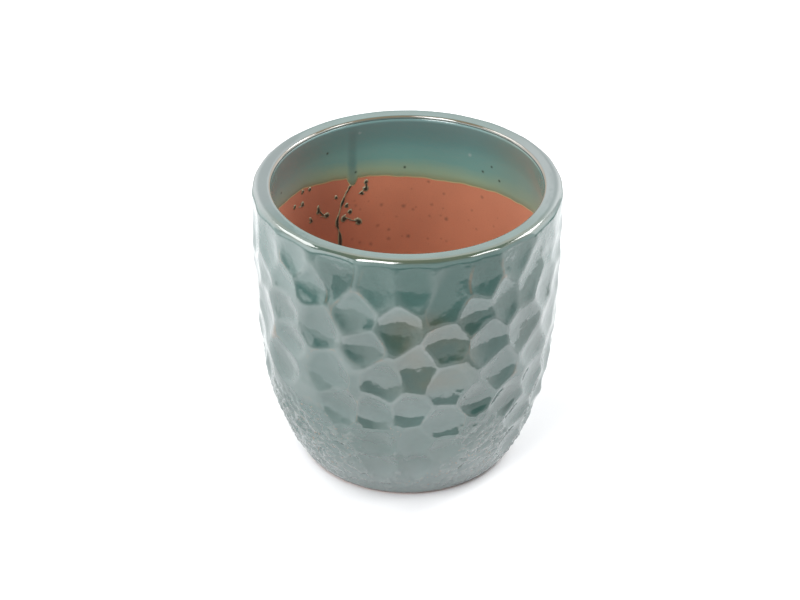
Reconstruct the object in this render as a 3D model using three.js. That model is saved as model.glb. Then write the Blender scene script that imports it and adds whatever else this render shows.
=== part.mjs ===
// Ceramic flower pot with a glazed outer wall carved in overlapping scoops.
// A fired clay body carries one coat of glaze on its outer wall and rim, another as a band inside the
// mouth, and on the bare clay below that band a long run and loose splashes of the same glaze.
// Millimetres, +Z up, origin on the ground on the pot's axis, front towards -Y.
// Angles are in degrees round the axis, from the front towards +X.
import * as THREE from "three";
import { mergeVertices } from "three/addons/utils/BufferGeometryUtils.js";

// Outer wall, measured over the glaze and before the scoops are cut
const POT_HEIGHT = 301.5;
const FOOT_RADIUS = 110.5;
const BELLY_RADIUS = 154.2;
const BELLY_HEIGHT = 225;
const RIM_RADIUS = 152.2;
const FLARE_POWER = 2.9;

// Clay body
const WALL_THICKNESS = 15;
const LIP_SWELL = 3;
const LIP_SWELL_DEPTH = 40;
const SHOULDER_ROUND = 7.5;
const LIP_ROUND = 4;
const FLOOR_THICKNESS = 16;
const FLOOR_CORNER_ROUND = 16;
const DRAIN_RADIUS = 14;
const FOOT_LAND_WIDTH = 14;
const FOOT_RECESS_DEPTH = 3.5;
const FOOT_RECESS_SLOPE = 3;
const FOOT_BEVEL = 1.2;

// Glaze
const GLAZE_THICKNESS = 0.9;
const GLAZE_FEATHER = 2.5;
const BARE_FOOT_HEIGHT = 2;
const BAND_DROP = 54;
const BAND_TILT = 24;
const BAND_LOWEST_ANGLE = 153;
const MARK_THICKNESS = 0.9;
const MARK_SEAT_GAP = 0.15;

// Scoops: one round tool, pressed in below the arched head and pulled down to a long tail
const SCOOP_DEPTH = 6;
const FAINT_DEPTH = 3.6;
const SCOOP_HALF_WIDTH = 27;
const SCOOP_HEAD = 22;
const SCOOP_TAIL = 33;
const SCOOP_RISE = 5;
const SCOOP_RIM_SHARE = 0.2;
const SCOOP_RIM_FADE = 14;

// Middle of each scoop on the front half, as [angle, drop below the rim], row by row.
// The back half carries the same rows turned half round.
const SCOOP_ROWS = [
  [-77, 23], [-61, 29], [-45.5, 15], [-26, 20], [-10, 28], [3, 26], [14, 45], [28.5, 23],
  [43, 23], [60, 8], [75, 11], [89, 20],
  [-77, 78], [-66, 64], [-52, 53], [-36, 40], [-19.5, 60], [-3, 71], [25.5, 65], [39, 60],
  [50.5, 52], [62.5, 38], [72, 48], [87, 58],
  [-67, 109], [-53, 84], [-35, 83], [-16, 97], [2, 119], [14, 92], [31, 98], [47, 101],
  [61, 71], [74, 83], [86, 98], [99, 108],
  [-76, 137], [-51, 114], [-32, 129], [-12, 133], [15, 139], [35.5, 137], [54, 133],
  [66, 114], [79, 128], [92, 136],
  [-72, 176], [-57, 148], [-29, 171], [-14, 172], [0, 167], [14, 186], [26.5, 167],
  [41, 182], [56, 173], [71, 160], [84, 168], [97, 178],
  [50, 213], [66, 207], [80, 205], [52, 252], [68, 245], [83, 243],
];
const FAINT_SCOOPS = [[-13, 212], [2, 207], [-12, 243], [4, 240]];

// The rough ground between the tongues of scoops is left plain and only divided into fields.
const PLAIN_FIELDS_ROUND = 16;
const PLAIN_FIELD_HEIGHT = 42;
const PLAIN_FIELD_CLEARANCE = 33;

// Glaze run below the band, as [angle, drop below the rim, half width] down its length
const RUN = [
  [204.4, 70, 2.6], [205.8, 75, 2.2], [207.8, 81, 1.7], [209.3, 90, 1.4], [210.4, 97, 1.5],
  [211.7, 103, 2.2], [211.9, 110, 1.7], [211.4, 116, 1.2], [210.8, 122, 2.0], [210.7, 130, 2.5],
  [211, 138, 2.1], [211.1, 142, 0.9],
];
// Splashes, as [angle, drop below the rim, half width, half height]
const SPLASHES = [
  [207.3, 101, 1.6, 2.2], [205.6, 109.5, 1.7, 2.2], [208.6, 116, 2.9, 3.6], [202, 123.6, 3.0, 3.8],
  [198, 77.5, 1.6, 2.4], [198, 85.4, 1.9, 2.6], [200, 89.8, 1.7, 1.9], [221.9, 95, 1.7, 5.0],
  [217.6, 105.5, 2.4, 2.4], [226.2, 103, 1.9, 2.9], [231, 78.6, 1.6, 2.4], [236.4, 76, 1.5, 2.1],
  [230.8, 64, 1.4, 1.8], [226.4, 65.5, 1.4, 1.8], [212.4, 87.7, 1.2, 1.5],
];

// Fineness of the mesh
const COLUMNS = 48;
const BAND_ROWS = 3;
const INNER_ROWS = 9;
const SHOULDER_STEPS = 3;
const ROUND_STEPS = 2;
const BORDER_STEPS = 3;
const BOWL_SHARE = 0.45;
const CLIMB_STRIDE = 3;
const CLIMB_LAST_STRIDE = 0.05;
const WELD = 1e-4;

const DEGREE = Math.PI / 180;
const SHOULDER_HEIGHT = POT_HEIGHT - SHOULDER_ROUND;
const LIP_HEIGHT = POT_HEIGHT - LIP_ROUND;
const GLAZE_FULL_HEIGHT = BARE_FOOT_HEIGHT + GLAZE_FEATHER;
const FLOOR_CORNER_HEIGHT = FLOOR_THICKNESS + FLOOR_CORNER_ROUND;
const SCOOP_MEAN_REACH = (SCOOP_HEAD + SCOOP_TAIL) / 2;

function turned(angle) {
  return ((((angle + 180) % 360) + 360) % 360) - 180;
}

function pointAt(angle, radius, height) {
  return new THREE.Vector3(
    radius * Math.sin(angle * DEGREE),
    -radius * Math.cos(angle * DEGREE),
    height,
  );
}

// Radius of the uncut outer wall: it flares from the foot to the belly and draws in a little at the rim.
function wallRadius(height) {
  if (height < BELLY_HEIGHT) {
    const below = (BELLY_HEIGHT - height) / BELLY_HEIGHT;
    return BELLY_RADIUS - (BELLY_RADIUS - FOOT_RADIUS) * below ** FLARE_POWER;
  }
  const above = (height - BELLY_HEIGHT) / (POT_HEIGHT - BELLY_HEIGHT);
  return BELLY_RADIUS - (BELLY_RADIUS - RIM_RADIUS) * above ** 2;
}

// Radius of the bare clay inside: the wall keeps its thickness and swells to the lip.
function innerRadius(height) {
  const swell = THREE.MathUtils.smoothstep(height, POT_HEIGHT - LIP_SWELL_DEPTH, LIP_HEIGHT);
  return wallRadius(height) - WALL_THICKNESS - LIP_SWELL * swell;
}

// The lower edge of the inner band, where the pot was tipped as the glaze was poured.
function bandEdgeHeight(angle) {
  return POT_HEIGHT - BAND_DROP - BAND_TILT * Math.cos((angle - BAND_LOWEST_ANGLE) * DEGREE);
}

// Marks on the wall
function scoopsOf(rows, depth) {
  return [0, 180].flatMap((half) =>
    rows.map(([angle, drop]) => ({
      angle: turned(angle + half),
      middle: POT_HEIGHT - drop,
      deepest: POT_HEIGHT - drop + SCOOP_RISE,
      depth,
    })),
  );
}

const scoops = [...scoopsOf(SCOOP_ROWS, SCOOP_DEPTH), ...scoopsOf(FAINT_SCOOPS, FAINT_DEPTH)];

function across(mark, angle) {
  return turned(angle - mark.angle) * DEGREE * BELLY_RADIUS;
}

// Depth that the tool reached at a place on the wall: the deepest of the scoops there
function scoopDepth(angle, height) {
  let depth = 0;
  for (const scoop of scoops) {
    const along = height - scoop.deepest;
    const reach = along > 0 ? SCOOP_HEAD : SCOOP_TAIL;
    const away = (across(scoop, angle) / SCOOP_HALF_WIDTH) ** 2 + (along / reach) ** 2;
    depth = Math.max(depth, scoop.depth - SCOOP_DEPTH * away);
  }
  return depth;
}

// Depth of the finished cut: the scoops are eased off at the rim.
function cutDepth(angle, height) {
  const eased = THREE.MathUtils.smoothstep(height, SHOULDER_HEIGHT - SCOOP_RIM_FADE, SHOULDER_HEIGHT);
  return scoopDepth(angle, height) * THREE.MathUtils.lerp(1, SCOOP_RIM_SHARE, eased);
}

function plainFields() {
  const fields = [];
  for (let middle = PLAIN_FIELD_HEIGHT / 2; middle < BELLY_HEIGHT; middle += PLAIN_FIELD_HEIGHT) {
    const stagger = Math.round(middle / PLAIN_FIELD_HEIGHT) % 2;
    for (let step = 0; step < PLAIN_FIELDS_ROUND; step += 1) {
      const angle = turned(((step + stagger / 2) * 360) / PLAIN_FIELDS_ROUND);
      const clear = scoops.every(
        (scoop) => Math.hypot(across(scoop, angle), scoop.middle - middle) > PLAIN_FIELD_CLEARANCE,
      );
      if (clear) fields.push({ angle, middle, depth: 0 });
    }
  }
  return fields;
}

// The wall is shared out among the scoops and plain fields. Each gets a cell with straight sides, from
// the lines on which two equal round cuts are equally deep. Cells that meet share their corner and edge
// places, and these then climb to the top of the ridge that the real scoops leave between them.
const STRETCH = SCOOP_HALF_WIDTH / SCOOP_MEAN_REACH;
const cellMarks = [...scoops, ...plainFields()];
const shared = new Map();

function weight(mark) {
  return (SCOOP_HALF_WIDTH ** 2 * mark.depth) / SCOOP_DEPTH;
}

function clipped(outline, side, beside) {
  return outline.flatMap((a, k) => {
    const b = outline[(k + 1) % outline.length];
    const [sideA, sideB] = [side(a), side(b)];
    const kept = sideA <= 0 ? [a] : [];
    if (sideA <= 0 !== sideB <= 0) {
      const t = sideA / (sideA - sideB);
      const meeting = { x: a.x + t * (b.x - a.x), y: a.y + t * (b.y - a.y) };
      kept.push({ ...meeting, beside: sideA <= 0 ? beside : a.beside });
    }
    return kept;
  });
}

function cellOutline(mark, index) {
  const quarterTurn = (Math.PI / 2) * BELLY_RADIUS;
  const low = (GLAZE_FULL_HEIGHT - mark.middle) * STRETCH;
  const high = (SHOULDER_HEIGHT - mark.middle) * STRETCH;
  let outline = [
    { x: -quarterTurn, y: low, beside: "foot" },
    { x: quarterTurn, y: low, beside: "right" },
    { x: quarterTurn, y: high, beside: "shoulder" },
    { x: -quarterTurn, y: high, beside: "left" },
  ];
  cellMarks.forEach((other, beside) => {
    if (beside === index) return;
    const x = across(mark, other.angle);
    const y = (other.middle - mark.middle) * STRETCH;
    const limit = x * x + y * y + weight(mark) - weight(other);
    outline = clipped(outline, (p) => 2 * (p.x * x + p.y * y) - limit, beside);
  });
  return outline;
}

// Moves a place along the given ways, by shorter and shorter strides, to where the least clay was cut away.
function climbed(place, ways) {
  const moved = (x, y) => ({
    angle: turned(place.angle + x / BELLY_RADIUS / DEGREE),
    height: place.height + y,
  });
  const cutAt = ({ angle, height }) => scoopDepth(angle, height);
  let [x, y] = [0, 0];
  for (let stride = CLIMB_STRIDE; stride > CLIMB_LAST_STRIDE; stride /= 2) {
    for (const [wayX, wayY] of ways) {
      const [nextX, nextY] = [x + wayX * stride, y + wayY * stride];
      if (cutAt(moved(nextX, nextY)) < cutAt(moved(x, y))) [x, y] = [nextX, nextY];
    }
  }
  return moved(x, y);
}

const LEVEL_WAYS = [[1, 0], [-1, 0]];
const ALL_WAYS = [...LEVEL_WAYS, [0, 1], [0, -1]];

function isBorder(beside) {
  return beside === "foot" || beside === "shoulder";
}

function sharedPlace(names, make) {
  const key = [...names].sort().join(" ");
  if (!shared.has(key)) shared.set(key, make());
  return shared.get(key);
}

function between(a, b, t) {
  return {
    angle: turned(a.angle + t * turned(b.angle - a.angle)),
    height: a.height + t * (b.height - a.height),
  };
}

// The places along one side of a cell, from its first corner up to but not including the next.
function sidePlaces(names, first, next) {
  if (names.some(isBorder)) {
    return Array.from({ length: BORDER_STEPS }, (_, k) => between(first, next, k / BORDER_STEPS));
  }
  if (names.some((name) => cellMarks[name].depth === 0)) return [first];
  const middle = sharedPlace(names, () => {
    const run = turned(next.angle - first.angle) * DEGREE * BELLY_RADIUS;
    const rise = next.height - first.height;
    const length = Math.hypot(run, rise);
    const ways = [[-rise / length, run / length], [rise / length, -run / length]];
    return climbed(between(first, next, 0.5), ways);
  });
  return [first, middle];
}

function cellOf(mark, index) {
  const outline = cellOutline(mark, index);
  const corners = outline.map((corner, k) => {
    const before = outline[(k + outline.length - 1) % outline.length].beside;
    return sharedPlace([index, before, corner.beside], () => {
      const place = {
        angle: turned(mark.angle + corner.x / BELLY_RADIUS / DEGREE),
        height: mark.middle + corner.y / STRETCH,
      };
      return climbed(place, isBorder(before) || isBorder(corner.beside) ? LEVEL_WAYS : ALL_WAYS);
    });
  });
  const sides = corners.map((corner, k) => {
    const next = corners[(k + 1) % corners.length];
    return [...sidePlaces([index, outline[k].beside], corner, next), next];
  });
  const mean = corners.reduce(
    (sum, corner) => ({
      turn: sum.turn + turned(corner.angle - mark.angle) / corners.length,
      height: sum.height + corner.height / corners.length,
    }),
    { turn: 0, height: 0 },
  );
  const centre = { angle: turned(mark.angle + mean.turn), height: mean.height };
  return { sides, centre, plain: mark.depth === 0, besides: outline.map((corner) => corner.beside) };
}

const cells = cellMarks.map(cellOf).filter((cell) => cell.sides.length > 2);

// A scoop's cell is a bowl with a ring of places half way out. A plain cell is a fan.
function cellFaces({ sides, centre, plain }) {
  const bowl = sides.map((side) => between(centre, side[0], BOWL_SHARE));
  const faces = sides.flatMap((side, k) => {
    const pairs = side.slice(1).map((place, step) => [side[step], place]);
    if (plain) return pairs.map(([a, b]) => [a, b, centre]);
    const inner = [bowl[k], bowl[(k + 1) % bowl.length]];
    const middle = Math.floor(pairs.length / 2);
    const rim = pairs.map(([a, b], step) => [a, b, step < middle ? inner[0] : inner[1]]);
    return [...rim, [side[middle], inner[1], inner[0]]];
  });
  if (plain) return faces;
  return [...faces, ...bowl.slice(2).map((place, k) => [bowl[0], bowl[k + 1], place])];
}

const wallFaces = cells.flatMap(cellFaces);

function borderPlaces(border) {
  const places = cells.flatMap((cell) =>
    cell.sides.filter((_, k) => cell.besides[k] === border).flatMap((side) => side.slice(0, -1)),
  );
  return places.sort((a, b) => a.angle - b.angle);
}

const footBorder = borderPlaces("foot");
const shoulderBorder = borderPlaces("shoulder");

// A point of the carved wall, with the given thickness of glaze over the clay
function wallPoint({ angle, height }, glaze) {
  const radius = wallRadius(height) - cutDepth(angle, height) - GLAZE_THICKNESS + glaze;
  return pointAt(angle, radius, height);
}

// Rings and skins: a ring is a closed row of points round the axis, and a skin is a list of triangle
// corners. Rings are joined in the order that keeps the material on the left of the path.
const columnAngles = Array.from({ length: COLUMNS }, (_, k) => turned((k * 360) / COLUMNS - 180));

function ring(radiusAt, heightAt) {
  return columnAngles.map((angle) => ({
    angle,
    point: pointAt(angle, radiusAt(angle), heightAt(angle)),
  }));
}

function flatRing(radius, height) {
  return ring(() => radius, () => height);
}

function borderRing(border, glaze) {
  return border.map((place) => ({ angle: place.angle, point: wallPoint(place, glaze) }));
}

function bridge(from, to) {
  const skin = [];
  const angleOf = (loop, k) => loop[k % loop.length].angle + 360 * Math.floor(k / loop.length);
  const pointOf = (loop, k) => loop[k % loop.length].point;
  let i = 0;
  let j = 0;
  while (i < from.length || j < to.length) {
    const stepFrom = j === to.length || (i < from.length && angleOf(from, i + 1) <= angleOf(to, j + 1));
    skin.push(pointOf(from, i), stepFrom ? pointOf(from, i + 1) : pointOf(to, j + 1), pointOf(to, j));
    if (stepFrom) i += 1;
    else j += 1;
  }
  return skin;
}

function bridgeAll(rings) {
  return rings.slice(1).flatMap((to, k) => bridge(rings[k], to));
}

function carvedSkin(glaze) {
  return wallFaces.flatMap((face) => face.map((place) => wallPoint(place, glaze)));
}

function reversed(skin) {
  return skin.map((_, k) => skin[k - (k % 3) + 2 - (k % 3)]);
}

function meshOf(name, skin, colour, roughness) {
  const positions = new Float32Array(skin.flatMap((point) => point.toArray()));
  const loose = new THREE.BufferGeometry();
  loose.setAttribute("position", new THREE.BufferAttribute(positions, 3));
  const geometry = mergeVertices(loose, WELD);
  geometry.computeVertexNormals();
  const material = new THREE.MeshStandardMaterial({ color: colour, roughness, metalness: 0 });
  const mesh = new THREE.Mesh(geometry, material);
  mesh.name = name;
  return mesh;
}

// Rim, from the shoulder over the top to the innermost line of the lip. The shoulder starts on the cut
// wall, so the outer edge of the rim runs in and out with the top row of scoops.
function rimRings(glaze) {
  const shell = GLAZE_THICKNESS - glaze;
  const edgeRadius = (angle) => wallRadius(SHOULDER_HEIGHT) - cutDepth(angle, SHOULDER_HEIGHT);
  const lipCentre = innerRadius(LIP_HEIGHT) - GLAZE_THICKNESS + LIP_ROUND;
  const rings = [];
  for (let step = 1; step <= SHOULDER_STEPS; step += 1) {
    const turn = (step / SHOULDER_STEPS) * (Math.PI / 2);
    const out = (SHOULDER_ROUND - shell) * Math.cos(turn) - SHOULDER_ROUND;
    const up = (SHOULDER_ROUND - shell) * Math.sin(turn);
    rings.push(ring((angle) => edgeRadius(angle) + out, () => SHOULDER_HEIGHT + up));
  }
  for (let step = 0; step <= ROUND_STEPS; step += 1) {
    const turn = (step / ROUND_STEPS) * (Math.PI / 2);
    const inward = (LIP_ROUND - shell) * Math.sin(turn);
    const up = (LIP_ROUND - shell) * Math.cos(turn);
    rings.push(flatRing(lipCentre - inward, LIP_HEIGHT + up));
  }
  return rings;
}

// Inner wall rows, all following the tilted edge of the band, with the given thickness of glaze
function bandRing(step, glaze, rise = 0) {
  const heightAt = (angle) =>
    THREE.MathUtils.lerp(LIP_HEIGHT, bandEdgeHeight(angle) + rise, step / BAND_ROWS);
  return ring((angle) => innerRadius(heightAt(angle)) - glaze, heightAt);
}

const bandSteps = Array.from({ length: BAND_ROWS }, (_, k) => k + 1);

// Height of a row of the bare inner wall, counted from the band's edge down to the corner of the floor
function bareRowHeight(angle, row) {
  return THREE.MathUtils.lerp(bandEdgeHeight(angle), FLOOR_CORNER_HEIGHT, row / INNER_ROWS);
}

function lowerWallRings() {
  return Array.from({ length: INNER_ROWS }, (_, k) => {
    const heightAt = (angle) => bareRowHeight(angle, k + 1);
    return ring((angle) => innerRadius(heightAt(angle)), heightAt);
  });
}

function floorRings() {
  const cornerCentre = innerRadius(FLOOR_CORNER_HEIGHT) - FLOOR_CORNER_ROUND;
  const corner = Array.from({ length: ROUND_STEPS }, (_, k) => {
    const turn = ((k + 1) / ROUND_STEPS) * (Math.PI / 2);
    const radius = cornerCentre + FLOOR_CORNER_ROUND * Math.cos(turn);
    return flatRing(radius, FLOOR_CORNER_HEIGHT - FLOOR_CORNER_ROUND * Math.sin(turn));
  });
  return [...corner, flatRing(DRAIN_RADIUS, FLOOR_THICKNESS)];
}

function undersideRings() {
  const land = wallRadius(0) - GLAZE_THICKNESS - FOOT_BEVEL;
  return [
    flatRing(DRAIN_RADIUS, FOOT_RECESS_DEPTH),
    flatRing(land - FOOT_LAND_WIDTH - FOOT_RECESS_SLOPE, FOOT_RECESS_DEPTH),
    flatRing(land - FOOT_LAND_WIDTH, 0),
    flatRing(land, 0),
    flatRing(wallRadius(FOOT_BEVEL) - GLAZE_THICKNESS, FOOT_BEVEL),
  ];
}

// Surfaces where glaze and clay meet, shared by both so that they touch face to face
const bareFootEdge = flatRing(wallRadius(BARE_FOOT_HEIGHT) - GLAZE_THICKNESS, BARE_FOOT_HEIGHT);
const clayLip = rimRings(0).at(-1);
const glazeLip = rimRings(GLAZE_THICKNESS).at(-1);
const bandEdge = bandRing(BAND_ROWS, 0);
const clayWallSkin = carvedSkin(0);
const clayFootSkin = bridge(bareFootEdge, borderRing(footBorder, 0));
const clayRimSkin = bridgeAll([borderRing(shoulderBorder, 0), ...rimRings(0)]);
const clayBandSkin = bridgeAll([clayLip, ...bandSteps.map((step) => bandRing(step, 0))]);

function clayBody() {
  const bare = [bandEdge, ...lowerWallRings(), ...floorRings(), ...undersideRings(), bareFootEdge];
  const skin = [...clayWallSkin, ...clayRimSkin, ...clayBandSkin, ...bridgeAll(bare), ...clayFootSkin];
  return meshOf("clay_body", skin, 0xa86751, 0.9);
}

function outerGlaze() {
  const rim = [borderRing(shoulderBorder, GLAZE_THICKNESS), ...rimRings(GLAZE_THICKNESS), clayLip];
  const skin = [
    ...bridge(bareFootEdge, borderRing(footBorder, GLAZE_THICKNESS)),
    ...carvedSkin(GLAZE_THICKNESS),
    ...bridgeAll(rim),
    ...reversed([...clayRimSkin, ...clayWallSkin, ...clayFootSkin]),
  ];
  return meshOf("outer_glaze", skin, 0x71888a, 0.18);
}

function innerGlazeBand() {
  const face = bandSteps.map((step) => bandRing(step, GLAZE_THICKNESS, GLAZE_FEATHER));
  const skin = [...bridgeAll([clayLip, glazeLip, ...face, bandEdge]), ...reversed(clayBandSkin)];
  return meshOf("inner_glaze_band", skin, 0x5a7670, 0.2);
}

// A drop of glaze that lies on the inner wall, from sections down its length: each has its angle, height,
// half width and thickness, and is an arch over the wall. Both ends are closed flat.
const ARCH = [[-1, 0], [-0.6, 0.7], [0, 1], [0.6, 0.7], [1, 0], [0, 0]];

// The inner wall is flat from row to row and from column to column, and a mark lies on those flats.
function seatRadius(angle, height) {
  const edge = bandEdgeHeight(angle);
  const row = (INNER_ROWS * (edge - height)) / (edge - FLOOR_CORNER_HEIGHT);
  const above = Math.floor(row);
  const [upper, lower] = [above, above + 1].map((k) => innerRadius(bareRowHeight(angle, k)));
  return THREE.MathUtils.lerp(upper, lower, row - above) * Math.cos(Math.PI / COLUMNS) - MARK_SEAT_GAP;
}

function glazeMark(name, sections) {
  const loops = sections.map(({ angle, height, half, thick }) =>
    ARCH.map(([sideways, crown]) => {
      const radius = seatRadius(angle, height) - crown * thick;
      return pointAt(angle + (sideways * half) / radius / DEGREE, radius, height);
    }),
  );
  const ends = [loops[0], loops.at(-1)].map((loop) => loop.at(-1));
  const skin = loops.slice(1).flatMap((lower, k) =>
    ARCH.flatMap((_, side) => {
      const next = (side + 1) % ARCH.length;
      const upper = loops[k];
      return [upper[side], upper[next], lower[next], upper[side], lower[next], lower[side]];
    }),
  );
  const caps = ARCH.slice(0, -2).flatMap((_, side) => {
    const next = side + 1;
    const [first, last] = [loops[0], loops.at(-1)];
    return [first[next], first[side], ends[0], last[side], last[next], ends[1]];
  });
  return meshOf(name, [...skin, ...caps], 0x474c44, 0.25);
}

function glazeRun() {
  const sections = RUN.map(([angle, drop, half]) => ({
    angle,
    height: POT_HEIGHT - drop,
    half,
    thick: MARK_THICKNESS,
  }));
  return glazeMark("glaze_run", sections);
}

const SPLASH_SECTIONS = [0.92, 0.55, 0, -0.55, -0.92];

function glazeSplash([angle, drop, halfWidth, halfHeight], index) {
  const sections = SPLASH_SECTIONS.map((along) => {
    const share = Math.sqrt(1 - along * along);
    const height = POT_HEIGHT - drop + along * halfHeight;
    return { angle, height, half: halfWidth * share, thick: MARK_THICKNESS * share };
  });
  return glazeMark(`glaze_splash_${String(index + 1).padStart(2, "0")}`, sections);
}

const pot = new THREE.Group();
pot.name = "ceramic_flower_pot";
pot.add(clayBody(), outerGlaze(), innerGlazeBand(), glazeRun(), ...SPLASHES.map(glazeSplash));

export default pot;
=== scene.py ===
import math
import random

import bpy
import numpy as np
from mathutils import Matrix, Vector


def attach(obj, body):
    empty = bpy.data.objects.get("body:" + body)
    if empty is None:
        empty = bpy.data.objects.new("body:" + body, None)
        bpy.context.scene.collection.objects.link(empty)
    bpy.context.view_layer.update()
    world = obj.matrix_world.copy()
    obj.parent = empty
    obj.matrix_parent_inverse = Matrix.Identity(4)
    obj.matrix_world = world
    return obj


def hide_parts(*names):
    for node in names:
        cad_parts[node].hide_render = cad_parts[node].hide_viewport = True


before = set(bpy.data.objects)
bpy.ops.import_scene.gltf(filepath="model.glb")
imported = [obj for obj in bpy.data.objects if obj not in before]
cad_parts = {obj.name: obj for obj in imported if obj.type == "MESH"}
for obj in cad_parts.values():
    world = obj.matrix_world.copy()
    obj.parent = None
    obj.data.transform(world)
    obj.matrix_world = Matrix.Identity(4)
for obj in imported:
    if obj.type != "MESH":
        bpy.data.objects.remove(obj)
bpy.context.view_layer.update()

# Camera, at the photograph's viewing angle: two metres off, looking down on the pot by about 33 degrees.
CAMERA_AIM = Vector((-0.0073, 0.0, 0.1622))
CAMERA_DISTANCE = 2.0278
CAMERA_RISE = math.radians(33.195)
camera_data = bpy.data.cameras.new("camera")
camera_data.lens = 90
camera_data.sensor_width = 36
camera = bpy.data.objects.new("camera", camera_data)
camera.location = CAMERA_AIM + CAMERA_DISTANCE * Vector((0, -math.cos(CAMERA_RISE), math.sin(CAMERA_RISE)))
camera.rotation_euler = (math.pi / 2 - CAMERA_RISE, 0, 0)
bpy.context.scene.collection.objects.link(camera)
bpy.context.scene.camera = camera


# Studio: a large sheet of white paper on the floor, soft boxes round the pot and a dim room. Bowed sheets in
# greys, from low cards to tall screens, stand round the pot out of the picture, for the gloss to mirror.
class Socket:
    """A value on a node tree. Arithmetic on it adds Math nodes to the tree."""

    def __init__(self, nodes, socket):
        self.nodes = nodes
        self.socket = socket

    def maths(self, operation, *others):
        return self.nodes.add("ShaderNodeMath", {"operation": operation}, dict(enumerate((self, *others))))

    def __add__(self, other):
        return self.maths("ADD", other)

    __radd__ = __add__

    def __mul__(self, other):
        return self.maths("MULTIPLY", other)

    __rmul__ = __mul__

    def __sub__(self, other):
        return self.maths("SUBTRACT", other)

    def __rsub__(self, other):
        return self.nodes.add("ShaderNodeMath", {"operation": "SUBTRACT"}, {0: other, 1: self})

    def __truediv__(self, other):
        return self.maths("DIVIDE", other)

    def __pow__(self, other):
        return self.maths("POWER", other)

    def at_least(self, other):
        return self.maths("MAXIMUM", other)

    def at_most(self, other):
        return self.maths("MINIMUM", other)

    def step(self, low, high):
        """A smooth step from 0 at low to 1 at high."""
        settings = {"interpolation_type": "SMOOTHSTEP"}
        inputs = {"Value": self, "From Min": low, "From Max": high}
        return self.nodes.add("ShaderNodeMapRange", settings, inputs)


class Nodes:
    """The nodes of one material or geometry tree."""

    def __init__(self, tree):
        self.tree = tree

    def add(self, kind, settings=None, inputs=None, output=0):
        """Adds a node, gives it its settings and the values or links of its sockets, and returns one of its
        outputs. The setting "stops" fills a colour ramp with pairs of a place and a colour."""
        node = self.tree.nodes.new(kind)
        for name, value in (settings or {}).items():
            if name == "stops":
                ramp = node.color_ramp.elements
                while len(ramp) < len(value):
                    ramp.new(0.5)
                for element, (place, colour) in zip(ramp, value):
                    element.position = place
                    element.color = (*colour, 1)
            else:
                setattr(node, name, value)
        for name, value in (inputs or {}).items():
            if isinstance(value, Socket):
                self.tree.links.new(value.socket, node.inputs[name])
            elif value is not None:
                node.inputs[name].default_value = value
        return Socket(self, node.outputs[output])

    def blend(self, share, first, second):
        """The first colour where share is 0 and the second where it is 1."""
        first, second = (c if isinstance(c, Socket) else (*c, 1) for c in (first, second))
        return self.add("ShaderNodeMix", {"data_type": "RGBA"}, {0: share, 6: first, 7: second}, 2)

    def noise(self, place, scale, detail=2.0, roughness=0.5, distortion=0.0):
        inputs = {"Vector": place, "Scale": scale, "Detail": detail}
        inputs |= {"Roughness": roughness, "Distortion": distortion}
        return self.add("ShaderNodeTexNoise", {}, inputs)


class Finish(Nodes):
    """A material made of nodes, with one Principled shader."""

    def __init__(self, name):
        self.material = bpy.data.materials.new(name)
        self.material.use_nodes = True
        super().__init__(self.material.node_tree)
        self.shader = self.tree.nodes["Principled BSDF"]
        self.place = self.add("ShaderNodeTexCoord", output="Object")

    def attribute(self, name):
        return self.add("ShaderNodeAttribute", {"attribute_name": name}, output="Fac")

    def around(self):
        """The angle round the pot's axis and the distance from it, in degrees and millimetres."""
        split = self.add("ShaderNodeSeparateXYZ", {}, {"Vector": self.place}).socket.node.outputs
        x, y = Socket(self, split["X"]), Socket(self, split["Y"])
        return x.maths("ARCTAN2", -1 * y) * (180 / math.pi), (x * x + y * y) ** 0.5 * 1000

    def set(self, **values):
        """Sets or links sockets of the shader, with _ for a space in their names."""
        for name, value in values.items():
            socket = self.shader.inputs[name.replace("_", " ")]
            if isinstance(value, Socket):
                self.tree.links.new(value.socket, socket)
            else:
                socket.default_value = value
        return self

    def bump(self, height, distance, strength=1.0):
        inputs = {"Height": height, "Distance": distance, "Strength": strength}
        return self.set(Normal=self.add("ShaderNodeBump", {}, inputs))


def mesh_object(name, points, faces, finish):
    """A smooth-shaded mesh with one material, put into the scene."""
    mesh = bpy.data.meshes.new(name)
    mesh.from_pydata(points, [], faces)
    mesh.polygons.foreach_set("use_smooth", [True] * len(mesh.polygons))
    mesh.materials.append(finish.material)
    mesh.update()
    made = bpy.data.objects.new(name, mesh)
    bpy.context.scene.collection.objects.link(made)
    return made


FLOOR_HALF = 4.0
FLOOR_LEVEL = -0.0004
FLOOR_CORNERS = ((-1, -1), (1, -1), (1, 1), (-1, 1))
paper = Finish("white_paper")
paper_grain = paper.noise(paper.place, 900.0, 3.0)
paper.set(Base_Color=paper.blend(paper_grain, (0.72, 0.72, 0.73), (0.76, 0.76, 0.77)), Roughness=0.95)
paper.set(Specular_IOR_Level=0.1)
floor_points = [(x * FLOOR_HALF, y * FLOOR_HALF, FLOOR_LEVEL) for x, y in FLOOR_CORNERS]
mesh_object("floor", floor_points, [(0, 1, 2, 3)], paper)
SCREEN_STEPS = 64
SCREEN_PALE_FROM = 0.38
SCREEN_PALE_TO = 0.95
SCREEN_END_GREY = 1.1


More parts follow.
